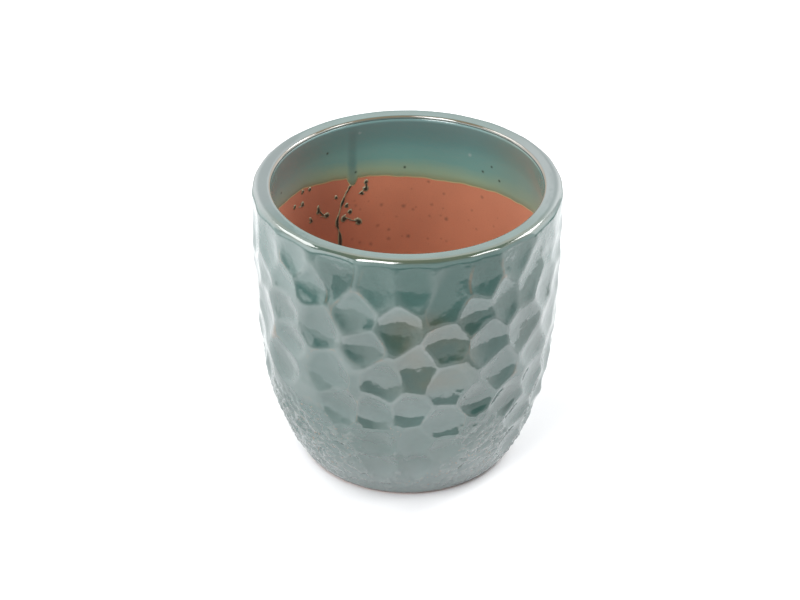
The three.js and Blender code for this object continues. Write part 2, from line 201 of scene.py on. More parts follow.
def screen(name, radius, top, middle, half, greys):
    """A bowed sheet that stands on the floor round the pot and shows only in the gloss. Its radius and top are
    in metres. middle is the angle of its middle from the camera's side towards +X, and half is half the angle
    it spans. It glows in greys that change with the height and pales to its ends."""
    finish = Finish(name)
    height = finish.add("ShaderNodeSeparateXYZ", {}, {"Vector": finish.place}, "Z") * (1 / top)
    stops = [(place / top, (grey,) * 3) for place, grey in greys]
    colour = finish.add("ShaderNodeValToRGB", {"stops": stops}, {"Fac": height})
    aside = (finish.around()[0] - middle).maths("WRAP", 180.0, -180.0).maths("ABSOLUTE")
    end = aside.step(SCREEN_PALE_FROM * half, SCREEN_PALE_TO * half)
    finish.set(Emission_Color=finish.blend(end, colour, (SCREEN_END_GREY,) * 3), Emission_Strength=1.0)
    finish.set(Base_Color=(0.0, 0.0, 0.0, 1.0), Roughness=1.0, Specular_IOR_Level=0.0)
    points, faces = [], []
    for step in range(SCREEN_STEPS + 1):
        turn = math.radians(middle + half * (2 * step / SCREEN_STEPS - 1))
        points += [(radius * math.sin(turn), -radius * math.cos(turn), z) for z in (0.0, top)]
        if step:
            faces.append((2 * step - 2, 2 * step - 1, 2 * step + 1, 2 * step))
    sheet = mesh_object(name, points, faces, finish)
    sheet.visible_camera = sheet.visible_shadow = sheet.visible_diffuse = False


# Pairs of a height in metres and the grey there.
FRONT_GREYS = [(0.0, 0.5), (0.06, 0.52), (0.118, 0.58), (0.14, 0.05), (0.225, 0.05), (0.27, 0.65)]
STRIP_GREYS = [(0.0, 1.0), (0.03, 1.0), (0.07, 0.15), (0.24, 0.15), (0.33, 2.1), (0.6, 2.4)]
SIDE_GREYS = [(0.0, 0.9), (0.16, 1.0), (0.27, 2.1), (0.6, 2.4)]
CARD_GREYS = [(0.0, 1.0), (0.06, 1.0), (0.09, 0.45), (0.13, 0.4), (0.16, 0.1), (0.21, 0.1), (0.25, 1.1)]
BACK_GREYS = [(0.0, 0.85), (0.5, 0.85), (1.0, 1.65)]
screen("front_screen", 0.40, 0.60, 20, 61, FRONT_GREYS)
screen("left_card", 0.5, 0.3, -55, 22, CARD_GREYS)
screen("right_card", 0.5, 0.3, 86, 14, CARD_GREYS)
screen("left_strip", 0.86, 0.9, -60, 42, STRIP_GREYS)
screen("right_strip", 0.86, 0.9, 92, 36, STRIP_GREYS)
screen("left_screen", 0.90, 1.0, -110, 60, SIDE_GREYS)
screen("right_screen", 0.90, 1.0, 118, 48, SIDE_GREYS)
screen("back_screen", 1.3, 1.2, 180, 62, BACK_GREYS)
LAMP_AIM = Vector((0, 0, 0.2))


def soft_box(name, turn, rise, distance, width, height, watts):
    """A rectangular lamp that looks at the pot. turn is its angle from the camera's side towards +X and rise
    its angle above the floor, and its distance and sides are in metres."""
    lamp = bpy.data.lights.new(name, "AREA")
    lamp.shape = "RECTANGLE"
    lamp.size, lamp.size_y, lamp.energy = width, height, watts
    box = bpy.data.objects.new(name, lamp)
    turn, rise = math.radians(turn), math.radians(rise)
    way = Vector((math.sin(turn) * math.cos(rise), -math.cos(turn) * math.cos(rise), math.sin(rise)))
    box.location = LAMP_AIM + distance * way
    box.rotation_euler = way.to_track_quat("Z", "Y").to_euler()
    bpy.context.scene.collection.objects.link(box)


soft_box("soft_box_front_left", -33, 44, 2.4, 0.85, 2.8, 78)
soft_box("soft_box_left", -114, 42, 2.4, 1.45, 1.5, 42)
soft_box("soft_box_front_right", 73, 46, 2.4, 0.6, 1.2, 20)
soft_box("soft_box_right", 121, 37, 2.4, 1.2, 1.1, 64)
soft_box("soft_box_back", 180, 44, 2.8, 3.0, 1.6, 20)
world = bpy.data.worlds.new("dim_room")
world.use_nodes = True
world.node_tree.nodes["Background"].inputs["Color"].default_value = (0.168, 0.17, 0.178, 1)
bpy.context.scene.world = world
bpy.context.scene.view_settings.view_transform = "Standard"

# Clay body: the pot itself, red clay shaped on a mould, with a wall of 15 mm that swells to the lip, a
# floor with a drain hole and a foot ring. The outer wall was carved with a round tool while still soft,
# in rows of overlapping scoops. Fired once, and bare wherever no glaze lies on it.

# From here on lengths are in millimetres, and angles in degrees from the camera's side towards +X.
POT_HEIGHT = 301.5
FOOT_RADIUS = 110.5
BELLY_RADIUS = 154.2
BELLY_HEIGHT = 225.0
RIM_RADIUS = 152.2
FLARE_POWER = 2.9
WALL_THICKNESS = 15.0
LIP_SWELL = 3.0
LIP_SWELL_DEPTH = 40.0
SHOULDER_ROUND = 7.5
LIP_ROUND = 3.0
FLOOR_THICKNESS = 16.0
FLOOR_CORNER_ROUND = 16.0
DRAIN_RADIUS = 14.0
FOOT_LAND_WIDTH = 14.0
FOOT_RECESS_DEPTH = 3.5
FOOT_RECESS_SLOPE = 3.0
FOOT_BEVEL = 0.9
CORNER_HOLD = 2.0
GLAZE_THICKNESS = 0.9
BARE_FOOT_HEIGHT = 0.9
SHOULDER_HEIGHT = POT_HEIGHT - SHOULDER_ROUND
LIP_HEIGHT = POT_HEIGHT - LIP_ROUND
SCOOP_RIM_SHARE = 0.7
SCOOP_RIM_FADE = 18.0
SCOOP_TOP_SHARE = 0.05
RIM_STEPS = 4
MM = 0.001


def smooth_step(value, low, high):
    """The same smooth step as on a node tree, for plain numbers."""
    share = min(1.0, max(0.0, (value - low) / (high - low)))
    return share * share * (3 - 2 * share)


def wall_radius(height):
    """The radius of the glazed outer wall at a height, before it is carved."""
    if height < BELLY_HEIGHT:
        below = (BELLY_HEIGHT - height) / BELLY_HEIGHT
        return BELLY_RADIUS - (BELLY_RADIUS - FOOT_RADIUS) * below**FLARE_POWER
    above = (height - BELLY_HEIGHT) / (POT_HEIGHT - BELLY_HEIGHT)
    return BELLY_RADIUS - (BELLY_RADIUS - RIM_RADIUS) * above**2


def inner_radius(height):
    """The radius of the bare inner wall at a height."""
    swell = smooth_step(height, POT_HEIGHT - LIP_SWELL_DEPTH, LIP_HEIGHT)
    return wall_radius(height) - WALL_THICKNESS - LIP_SWELL * swell


def between(first, last, steps):
    """Evenly spaced values after first, up to and including last."""
    return [first + (last - first) * (k + 1) / steps for k in range(steps)]


def rim_ease(height):
    """The share of a scoop's depth that is left at a height: the cuts run out towards the rim."""
    faded = smooth_step(height, SHOULDER_HEIGHT - SCOOP_RIM_FADE, SHOULDER_HEIGHT)
    return 1 - (1 - SCOOP_RIM_SHARE) * faded


def outer_path(depth, lowest, rows, shoulder_steps, lip_steps):
    """The outer face at a depth under the glaze's surface, from the foot over the rim to the lip. Each
    place is (radius, height, height that the scoops see, share of their depth)."""
    path = []
    for height in between(lowest, SHOULDER_HEIGHT, rows):
        path.append((wall_radius(height) - depth, height, height, rim_ease(height)))
    edge = wall_radius(SHOULDER_HEIGHT) - SHOULDER_ROUND
    for turn in between(0.0, math.pi / 2, shoulder_steps):
        radius = edge + (SHOULDER_ROUND - depth) * math.cos(turn)
        height = SHOULDER_HEIGHT + (SHOULDER_ROUND - depth) * math.sin(turn)
        share = SCOOP_RIM_SHARE + (SCOOP_TOP_SHARE - SCOOP_RIM_SHARE) * math.sin(turn)
        path.append((radius, height, SHOULDER_HEIGHT, share))
    lip_centre = inner_radius(LIP_HEIGHT) - GLAZE_THICKNESS + LIP_ROUND
    for share in between(0.0, 1.0, RIM_STEPS):
        radius = edge + (lip_centre - edge) * share
        path.append((radius, POT_HEIGHT - depth, SHOULDER_HEIGHT, SCOOP_TOP_SHARE * (1 - share)))
    for turn in between(0.0, math.pi / 2, lip_steps):
        radius = lip_centre - (LIP_ROUND - depth) * math.sin(turn)
        height = LIP_HEIGHT + (LIP_ROUND - depth) * math.cos(turn)
        path.append((radius, height, SHOULDER_HEIGHT, 0.0))
    return path


def turned_blank(name, path_at, columns, finish, kinds):
    """A closed path turned round the axis, as a mesh. path_at(angle) gives the places of the path, each a
    radius, a height and then one value for each of the named kinds, kept as attributes of the points."""
    rows = [path_at(360 * k / columns - 180) for k in range(columns)]
    count = len(rows[0])
    table = np.array(rows)
    angles = np.repeat(np.arange(columns) * 360 / columns - 180, count)
    flat = table.reshape(columns * count, -1)
    turns = np.radians(angles)
    points = np.stack([flat[:, 0] * np.sin(turns), -flat[:, 0] * np.cos(turns), flat[:, 1]], 1) * MM
    column, row = np.meshgrid(np.arange(columns), np.arange(count), indexing="ij")
    column_after, row_after = (column + 1) % columns, (row + 1) % count
    here, up = column * count + row, column * count + row_after
    right, right_up = column_after * count + row, column_after * count + row_after
    faces = np.stack([here, right, right_up, up], -1).reshape(-1, 4)
    made = mesh_object(name, points.tolist(), faces.tolist(), finish)
    for kind, values in [("angle", angles), *zip(kinds, flat[:, 2:].T)]:
        attribute = made.data.attributes.new(kind, "FLOAT", "POINT")
        attribute.data.foreach_set("value", np.ascontiguousarray(values, np.float32))
    return made


# The scoops of the front half, row by row. Those of the first row run out over the rim, so they have no top:
# they are angle, height of the bottom, lean, gain in depth and share of the length where they are deepest. The
# others are angle, height of the top, height of the bottom, lean and that share. What is left out has its usual
# value. The back half has the same rows turned half round.
TOP_SCOOPS = [
    (-78, 240, 0.0, 1.5), (-61, 248, 0.0, 1.6), (-45.5, 262, 0.0, 1.6), (-27, 256, 0.0, 1.4, 0.75),
    (-10, 253), (2.5, 254), (14, 232, 0.26), (28.5, 255), (43, 257, 0.0, 1.5, 0.7), (59.5, 272), (75, 270),
    (89, 260),
]
SCOOPS = [
    (-77, 240, 205), (-66, 250, 220), (-52, 262, 232), (-37, 272, 239), (-19.5, 257, 218),
    (-3, 247, 205, 0.0, 0.66), (25.5, 252, 214), (39, 262, 218), (50.5, 275, 222, 0.4), (62.5, 274, 250),
    (72, 266, 240), (87, 265, 222), (-67, 216, 165), (-51, 232, 198), (-33.5, 232, 189, 0.0, 0.45),
    (-16, 220, 185), (3.5, 202, 155, 0.0, 0.66), (14, 227, 182, 0.0, 0.66), (31, 221, 175), (47, 222, 175),
    (61, 250, 208), (73, 232, 200), (86, 225, 182), (99, 215, 172), (-75, 180, 145), (-48.5, 200, 166),
    (-53, 170, 128), (-30.5, 185, 139, 0.0, 0.45), (-9, 185, 142, 0.0, 0.62), (14.5, 179, 131, 0.0, 0.55),
    (35.5, 184, 142), (54, 185, 148), (66, 205, 165), (79, 195, 152), (92, 187, 145), (-72, 145, 100),
    (-26.5, 146, 102), (-12.5, 143, 101), (1.5, 147, 109), (13.5, 131, 90), (26.5, 150, 116), (41, 136, 100),
    (56, 147, 107), (71, 160, 110), (84, 153, 113), (97, 145, 103), (50, 105, 70), (66, 112, 75),
    (81, 118, 68), (52, 68, 30), (68, 73, 36), (84, 84, 38),
]
FAINT_SCOOPS = [(-12, 101, 62), (3, 106, 64), (-12, 70, 32), (4, 74, 34), (14, 90, 56)]
SCOOP_DEPTH = 6.0
SCOOP_LENGTH = 42.0
SCOOP_HALF_WIDTH = 29.0
SCOOP_DEEPEST = 0.56
HEAD_SHOWN = 0.63
TAIL_SHOWN = 0.83
SIDE_EASE = 0.35
SIDE_EASE_TURNS = (28, 62)
LOW_BOTTOM = 125.0
LOW_GAIN = 1.25
LOW_TAIL_SHOWN = 0.95
FAINT_SHARE = 0.7
TOP_SCOOP_DEPTH = 3.9
TOP_SCOOP_LENGTH = 50.0
TOP_SCOOP_DEEPEST = 0.3
TOP_SCOOP_HALF_WIDTH = 25.0
TOP_SCOOP_TAIL = 1.5
WIDTH_SPREAD = (0.95, 1.05)
TAIL_SPREAD = (0.97, 1.03)
DEPTH_SPREAD = (0.94, 1.06)


def scoop_marks():
    """The scoops as loose points that carry their place, reach and depth."""
    draw = random.Random(7)
    places, reaches, depths = [], [], []

    def mark(angle, deepest, lean, half_width, head, tail, depth):
        places.extend((angle, deepest, lean))
        reaches.extend((half_width * draw.uniform(*WIDTH_SPREAD), head, tail * draw.uniform(*TAIL_SPREAD)))
        side = smooth_step(abs((angle + 90) % 180 - 90), *SIDE_EASE_TURNS)
        depths.append(depth * (1 - SIDE_EASE * side) * draw.uniform(*DEPTH_SPREAD))

    for half in (0, 180):
        for angle, bottom, *more in TOP_SCOOPS:
            length = POT_HEIGHT - bottom
            lean, gain, deepest_at = more + [0.0, 1.0, TOP_SCOOP_DEEPEST][len(more):]
            sizes = (TOP_SCOOP_HALF_WIDTH, length, TOP_SCOOP_TAIL * deepest_at * length)
            depth = TOP_SCOOP_DEPTH * gain * min(1.0, length / TOP_SCOOP_LENGTH)
            mark(angle + half, bottom + deepest_at * length, lean, *sizes, depth)
        for rows, share in ((SCOOPS, 1.0), (FAINT_SCOOPS, FAINT_SHARE)):
            for angle, top, bottom, *more in rows:
                lean, deepest_at = more + [0.0, SCOOP_DEEPEST][len(more):]
                length = top - bottom
                deepest = bottom + deepest_at * length
                low = bottom < LOW_BOTTOM
                head = (top - deepest) / HEAD_SHOWN
                tail = (deepest - bottom) / (LOW_TAIL_SHOWN if low else TAIL_SHOWN)
                depth = SCOOP_DEPTH * share * (length / SCOOP_LENGTH) ** 0.5 * (LOW_GAIN if low else 1.0)
                mark(angle + half, deepest, lean, SCOOP_HALF_WIDTH * share**0.5, head, tail, depth)
    mesh = bpy.data.meshes.new("scoop_marks")
    mesh.from_pydata([(0, 0, 0)] * len(depths), [], [])
    for name, values in (("place", places), ("reach", reaches)):
        mesh.attributes.new(name, "FLOAT_VECTOR", "POINT").data.foreach_set("vector", values)
    mesh.attributes.new("depth", "FLOAT", "POINT").data.foreach_set("value", depths)
    marks = bpy.data.objects.new("scoop_marks", mesh)
    bpy.context.scene.collection.objects.link(marks)
    return marks


# The powers with which a scoop rises from its deepest place up to its head and down to its tail.
HEAD_POWER = 1.5
TAIL_POWER = 2.5
# Between which heights, angles aside and depths of cut the rough ground low on the wall fades away.
ROUGH_FOOT = (2, 16)
ROUGH_TOP = (96, 126)
ROUGH_SIDES = (64, 82)
ROUGH_SIDE_LOSS = 0.6
ROUGH_CUT = (0.1, 1.6)


def carving_tree():
    """A geometry tree that cuts the marks into a turned blank, one after the other, and roughens the ground
    that no mark reaches."""
    tree = bpy.data.node_groups.new("scoop_carving", "GeometryNodeTree")
    tree.is_modifier = True
    kinds = {"Blank": "Geometry", "Marks": "Object", "Ridge Round": "Float", "Tail Taper": "Float",
             "Tail Round": "Float", "Head Arch": "Float", "Rough Height": "Float", "Rough Size": "Float",
             "Finish": "Material"}
    for name, kind in kinds.items():
        tree.interface.new_socket(name=name, in_out="INPUT", socket_type=f"NodeSocket{kind}")
    tree.interface.new_socket(name="Carved", in_out="OUTPUT", socket_type="NodeSocketGeometry")
    nodes = Nodes(tree)
    given = {s.name: Socket(nodes, s) for s in tree.nodes.new("NodeGroupInput").outputs if s.name}

    def named(name, kind="FLOAT"):
        return nodes.add("GeometryNodeInputNamedAttribute", {"data_type": kind}, {"Name": name})

    def stored(geometry, name, value):
        inputs = {"Geometry": geometry, "Name": name, "Value": value}
        return nodes.add("GeometryNodeStoreNamedAttribute", {"data_type": "FLOAT", "domain": "POINT"}, inputs)

    marks = nodes.add("GeometryNodeObjectInfo", {}, {"Object": given["Marks"]}, "Geometry")
    settings = {"component": "MESH"}
    count = nodes.add("GeometryNodeAttributeDomainSize", settings, {"Geometry": marks}, "Point Count")
    start = stored(stored(given["Blank"], "cut", 0.0), "second", 0.0)
    loop_start = tree.nodes.new("GeometryNodeRepeatInput")
    loop_end = tree.nodes.new("GeometryNodeRepeatOutput")
    loop_start.pair_with_output(loop_end)
    tree.links.new(count.socket, loop_start.inputs["Iterations"])
    tree.links.new(start.socket, loop_start.inputs["Geometry"])
    turn = Socket(nodes, loop_start.outputs["Iteration"])

    def of_mark(name, kind):
        settings = {"data_type": kind, "domain": "POINT"}
        inputs = {"Geometry": marks, "Value": named(name, kind), "Index": turn}
        return nodes.add("GeometryNodeSampleIndex", settings, inputs)

    def parts(vector):
        split = nodes.add("ShaderNodeSeparateXYZ", {}, {"Vector": vector}).socket.node
        return [Socket(nodes, socket) for socket in split.outputs]

    angle, deepest, lean = parts(of_mark("place", "FLOAT_VECTOR"))
    half, head, tail = parts(of_mark("reach", "FLOAT_VECTOR"))
    depth = of_mark("depth", "FLOAT")
    along = named("height") - deepest
    across = (named("angle") - angle).maths("WRAP", 180.0, -180.0) * (math.pi / 180 * BELLY_RADIUS)
    across = (across - lean * along) / half
    down = (across * across * given["Tail Round"] - along).at_least(0.0) / tail
    up = (along + across * across * given["Head Arch"]).at_least(0.0) / head
    across = across * (1 + down.at_most(1.0) * given["Tail Taper"])
    away = across * across + up**HEAD_POWER + down**TAIL_POWER
    cut_here = depth - depth * away
    geometry = Socket(nodes, loop_start.outputs["Geometry"])
    geometry = stored(geometry, "second", named("second").at_least(named("cut").at_most(cut_here)))
    geometry = stored(geometry, "cut", named("cut").maths("SMOOTH_MAX", cut_here, given["Ridge Round"]))
    tree.links.new(geometry.socket, loop_end.inputs["Geometry"])
    geometry = Socket(nodes, loop_end.outputs["Geometry"])
    geometry = stored(geometry, "ridge", named("cut") - named("second"))
    aside = named("angle").maths("WRAP", 90.0, -90.0).maths("ABSOLUTE")
    ground = (1 - named("cut").step(*ROUGH_CUT)) * (1 - named("height").step(*ROUGH_TOP))
    ground = ground * named("height").step(*ROUGH_FOOT) * (1 - aside.step(*ROUGH_SIDES) * ROUGH_SIDE_LOSS)
    position = nodes.add("GeometryNodeInputPosition")
    level = nodes.add("ShaderNodeVectorMath", {"operation": "MULTIPLY"}, {0: position, 1: (1, 1, 0)})
    outward = nodes.add("ShaderNodeVectorMath", {"operation": "NORMALIZE"}, {0: level})
    per_metre = nodes.add("ShaderNodeMath", {"operation": "DIVIDE"}, {0: 1000.0, 1: given["Rough Size"]})
    grain = nodes.noise(None, per_metre, distortion=0.6)
    geometry = stored(geometry, "rough", ground * grain)
    rise = ground * (grain - 0.5) * given["Rough Height"] - named("cut") * named("ease")
    offset = nodes.add("ShaderNodeVectorMath", {"operation": "SCALE"}, {0: outward, "Scale": rise * MM})
    geometry = nodes.add("GeometryNodeSetPosition", {}, {"Geometry": geometry, "Offset": offset})
    geometry = nodes.add("GeometryNodeRealizeInstances", {}, {"Geometry": geometry})
    geometry = nodes.add("GeometryNodeSetMaterial", {}, {"Geometry": geometry, "Material": given["Finish"]})
    tree.links.new(geometry.socket, tree.nodes.new("NodeGroupOutput").inputs["Carved"])
    return tree


carving = carving_tree()
marks = scoop_marks()


def carved(blank, rough_height, finish):
    """The blank with the scoops cut into it, as a plain mesh."""
    name = blank.name
    modifier = blank.modifiers.new("scoop_carving", "NODES")
    modifier.node_group = carving
    values = {"Marks": marks, "Ridge Round": 3.2, "Tail Taper": 0.35, "Tail Round": 9.0,
              "Head Arch": 14.0, "Rough Height": rough_height, "Rough Size": 7.5, "Finish": finish.material}
    for socket in carving.interface.items_tree:
        if socket.name in values:
            modifier[socket.identifier] = values[socket.name]
    state = bpy.context.evaluated_depsgraph_get()
    cut = blank.evaluated_get(state)
    mesh = bpy.data.meshes.new_from_object(cut, preserve_all_data_layers=True, depsgraph=state)
    blank.modifiers.remove(modifier)
    blank.data = mesh
    mesh.name = name
    return blank


CLAY_COLUMNS = 240
CLAY_DEPTH = 2.6
CLAY_STEP = 1.0
DRAIN_BEVEL = 1.5
BEVEL_ROUND = (0.7, 0.3)
SPOT_CORE = 0.25
SPOT_FADE = 1.2
SPECK_SHARE = 0.75
SPECK_WANDER = 2.4
# Painted shade: the inner wall is darker and redder round this angle, where less lamp light reaches it.
SHADED_SIDE_ANGLE = -132
SHADED_SIDE_TURNS = (14, 40)
clay = Finish("bare_red_clay")
clay_patches = clay.noise(clay.place, 9.0, 3.0)
clay_grain = clay.noise(clay.place, 700.0, 4.0, 0.7)
clay_colour = clay.blend(clay_patches.step(0.3, 0.7), (0.39, 0.146, 0.081), (0.47, 0.181, 0.099))
clay_colour = clay.blend(clay_grain.step(0.55, 0.8) * 0.5, clay_colour, (0.20, 0.085, 0.055))
# Stains in the clay, without thickness: angle, height, size and strength.
CLAY_SPECKS = [
    (203.4, 204, 2.8, 0.6), (191.1, 194, 3.4, 0.75), (181.4, 191, 3.8, 0.8), (177.4, 187, 2.8, 0.6),
    (193.1, 169, 3.6, 0.6), (188.1, 163, 3.2, 0.7), (188.2, 152, 3.6, 0.7), (179.4, 154, 3.6, 1.0),
    (196.5, 148, 3.6, 0.7), (170.6, 221.5, 3.0, 0.7), (163.7, 209, 2.8, 0.7), (145.6, 216, 3.0, 0.8),
    (169, 194, 3.2, 0.6), (162.4, 179, 3.4, 1.0), (150.4, 196, 2.6, 0.5), (176, 190, 2.4, 0.6),
    (170, 180, 2.6, 0.6), (165, 182, 2.2, 0.5), (164, 191, 2.2, 0.5), (184.5, 178, 2.4, 0.45),
    (182, 154, 2.4, 0.5), (170.5, 152, 2.4, 0.5), (164.5, 154, 2.2, 0.45), (162, 152, 2.6, 0.5),
    (152, 183, 2.2, 0.45), (148, 175, 2.6, 0.5), (139, 186, 2.4, 0.5), (137, 198, 2.0, 0.45),
    (178, 212, 2.2, 0.45), (203, 198, 3.4, 0.6), (201, 192, 2.6, 0.5), (197, 200, 2.4, 0.45),
    (205, 158, 2.8, 0.5), (201.5, 152, 3.0, 0.55), (209, 152, 2.6, 0.5),
]
clay_wander = clay.noise(clay.place, 300.0) * SPECK_WANDER


def spot(finish, angle, height, size, wander):
    """A round mark on the inner wall, with an edge that wanders: 1 at its middle and 0 outside its edge."""
    aside = (finish.around()[0] - angle).maths("WRAP", 180.0, -180.0)
    across = aside * (math.pi / 180 * inner_radius(height))
    up = finish.attribute("height") - height
    return 1 - ((across * across + up * up) ** 0.5 + wander).step(SPOT_CORE * size, size + SPOT_FADE)


# Painted shade: the bare inner wall darkens and reddens towards that side, fading out over the given turns.
clay_painted_shade = 1 - (clay.around()[0] - SHADED_SIDE_ANGLE).maths("ABSOLUTE").step(*SHADED_SIDE_TURNS)
clay_colour = clay.blend(clay_painted_shade * 0.4, clay_colour, (0.24, 0.070, 0.042))
for angle, height, size, share in CLAY_SPECKS:
    speck = spot(clay, angle, height, size, clay_wander) * share * SPECK_SHARE
    clay_colour = clay.blend(speck, clay_colour, (0.085, 0.055, 0.035))
clay.set(Base_Color=clay_colour, Roughness=0.85)
clay.bump(clay_grain, 0.0004, 0.5)


def clay_path(_angle):
    """The clay's path, the same all round: down the inner wall, over the floor, through the drain hole, under
    the foot and up the outer wall behind the glaze. Rows close to the foot's corners keep its flats flat."""
    corner_height = FLOOR_THICKNESS + FLOOR_CORNER_ROUND
    corner = inner_radius(corner_height) - FLOOR_CORNER_ROUND
    hole = DRAIN_RADIUS + DRAIN_BEVEL
    land = wall_radius(0) - GLAZE_THICKNESS - FOOT_BEVEL
    land_start = land - FOOT_LAND_WIDTH
    recess = land_start - FOOT_RECESS_SLOPE
    bare = [(inner_radius(h), h) for h in between(LIP_HEIGHT, corner_height, steps=60)]
    for turn in between(0.0, math.pi / 2, steps=8):
        radius = corner + FLOOR_CORNER_ROUND * math.cos(turn)
        bare.append((radius, corner_height - FLOOR_CORNER_ROUND * math.sin(turn)))
    bare += [(radius, FLOOR_THICKNESS) for radius in between(corner, hole, steps=10)]
    bare += [(DRAIN_RADIUS, h) for h in (FLOOR_THICKNESS - DRAIN_BEVEL, FOOT_RECESS_DEPTH + DRAIN_BEVEL)]
    for radius in (hole, hole + CORNER_HOLD, recess - CORNER_HOLD, recess):
        bare.append((radius, FOOT_RECESS_DEPTH))
    for radius in (land_start, land_start + CORNER_HOLD, land - CORNER_HOLD, land):
        bare.append((radius, 0.0))
    out, up = BEVEL_ROUND
    bare.append((land + out * FOOT_BEVEL, up * FOOT_BEVEL))
    bare += [(wall_radius(h) - GLAZE_THICKNESS, h) for h in (FOOT_BEVEL, BARE_FOOT_HEIGHT)]
    path = [(radius, height, height, 0.0) for radius, height in bare]
    return path + outer_path(CLAY_DEPTH, BARE_FOOT_HEIGHT + CLAY_STEP, rows=90, shoulder_steps=6, lip_steps=4)


clay_body = turned_blank("clay_body_pot", clay_path, CLAY_COLUMNS, clay, ("height", "ease"))
clay_body = carved(clay_body, 0.0, clay)
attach(clay_body, "root")
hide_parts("clay_body")

# Outer glaze: one coat of blue-green glaze over the carved wall and the rim, glassy and about a millimetre
# thick, poured and fired on. It runs thin on the ridges and the rim, where it breaks to olive and brown.
# Some light and shade is painted into its colour too: highlights on the ridges, shade on the front shoulder,
# and reflections on the rim's sides and low on the wall.
GLAZE_COLUMNS = 478
GLAZE_BACK_DEPTH = 2.2
GLAZE_FOOT_EDGE = 0.8
ROUGH_HEIGHT = 6.5
BREAK_WANDER = 2.4
BREAK_FADE = 3
# Lines where thin glaze breaks to brown: angle, lower end, upper end and half width in degrees.
BROWN_BREAKS = [
    (-18, 255, 292, 4.0), (-20, 100, 190, 4.0), (-22, 22, 78, 2.2), (22, 250, 290, 4.0), (25.5, 48, 70, 2.0),
    (-28, 222, 260, 4.0), (22, 180, 216, 4.0), (22, 100, 140, 4.0), (36, 262, 290, 3.0), (-10, 190, 215, 4.0),
    (8, 205, 250, 4.0),
]
glaze = Finish("blue_green_glaze")
glaze_angle, glaze_radius = glaze.around()
glaze_height = glaze.attribute("height")
glaze_ridge = glaze.attribute("ridge")
glaze_clouds = glaze.noise(glaze.place, 14.0, 4.0, 0.6)
glaze_fine = glaze.noise(glaze.place, 160.0, 3.0, 0.6)
glaze_z = glaze.add("ShaderNodeSeparateXYZ", {}, {"Vector": glaze.place}, "Z") * 1000
glaze_colour = glaze.blend(glaze_clouds.step(0.3, 0.7), (0.032, 0.072, 0.062), (0.046, 0.094, 0.085))
green_top = glaze_height.step(215, 262) * (1 - glaze_z.step(POT_HEIGHT - 5, POT_HEIGHT - 1))
glaze_colour = glaze.blend(green_top * 0.65, glaze_colour, (0.060, 0.122, 0.110))
thick_patch = (1 - (glaze_angle + 26).maths("ABSOLUTE").step(5, 11)) * glaze_height.step(248, 264)
thick_patch = thick_patch * (1 - glaze_height.step(284, 294))
glaze_colour = glaze.blend(thick_patch * 0.9, glaze_colour, (0.030, 0.075, 0.066))
olive_patch = 1 - (glaze_angle - 8).maths("ABSOLUTE").step(8, 22)
olive_patch = olive_patch * glaze_height.step(145, 165) * (1 - glaze_height.step(232, 256))
olive_patch = olive_patch * glaze_clouds.step(0.3, 0.6)
glaze_colour = glaze.blend(olive_patch * 0.7, glaze_colour, (0.060, 0.068, 0.040))
glaze_rough = glaze.attribute("rough")
carved_share = 1 - glaze_rough.step(0.02, 0.2)
thin_ridge = (1 - glaze_ridge.step(0.3, 3.2)) * carved_share
thin_ridge = thin_ridge * (0.25 + 0.75 * glaze_height.step(95, 150))
thin_ridge = thin_ridge * (1 - glaze_z.step(POT_HEIGHT - 9, POT_HEIGHT - 3))
# Paler along the ridges: partly glaze running thin there, partly a painted highlight.
ridge_thin_glaze_and_highlight = thin_ridge * (0.2 + 0.8 * glaze.noise(glaze.place, 26.0).step(0.35, 0.65))
glaze_colour = glaze.blend(ridge_thin_glaze_and_highlight * 0.38, glaze_colour, (0.16, 0.20, 0.19))
glaze_colour = glaze.blend(glaze_rough.step(0.5, 0.62) * 0.35, glaze_colour, (0.16, 0.19, 0.175))
# Painted reflection: the glaze is paler low on the wall, for the bright floor it mirrors near the foot.
foot_painted_reflection = 1 - glaze_height.step(8, 80)
glaze_colour = glaze.blend(foot_painted_reflection * 0.6, glaze_colour, (0.185, 0.221, 0.218))
flecks = glaze.noise(glaze.place, 260.0).step(0.62, 0.72) * glaze_clouds.step(0.42, 0.58)
flecks = flecks * (1 - carved_share)
glaze_colour = glaze.blend(flecks * 0.6, glaze_colour, (0.20, 0.13, 0.085))
brown = thin_ridge * (1 - glaze_ridge.step(0.65, 1.1)) * glaze_clouds.step(0.6, 0.68)
break_angle = glaze_angle + (glaze_fine - 0.5) * BREAK_WANDER
thin_break = (1 - glaze_ridge.step(0.65, 1.3)) * glaze.attribute("cut").step(0.5, 1.4)
thin_break = thin_break * (0.35 + 0.65 * glaze.noise(glaze.place, 90.0).step(0.4, 0.6))
for angle, low, high, half_width in BROWN_BREAKS:
    line = (1 - (break_angle - angle).maths("ABSOLUTE").step(half_width * 0.3, half_width)) * thin_break
    line = line * glaze_height.step(low - BREAK_FADE, low + BREAK_FADE)
    line = line * (1 - glaze_height.step(high - BREAK_FADE, high + BREAK_FADE))
    brown = brown.at_least(line)
glaze_colour = glaze.blend(brown * 0.45, glaze_colour, (0.19, 0.12, 0.07))
glaze_aside = glaze_angle.maths("ABSOLUTE")
# Painted reflection: the top of the rim is paler at the left and right, for the bright backdrop it mirrors
# there.
rim_side_painted_reflection = glaze_aside.step(48, 80) * (1 - glaze_aside.step(112, 150))
rim_side_painted_reflection = rim_side_painted_reflection * glaze_z.step(POT_HEIGHT - 4, POT_HEIGHT - 1)
glaze_colour = glaze.blend(rim_side_painted_reflection * 0.5, glaze_colour, (0.14, 0.148, 0.155))
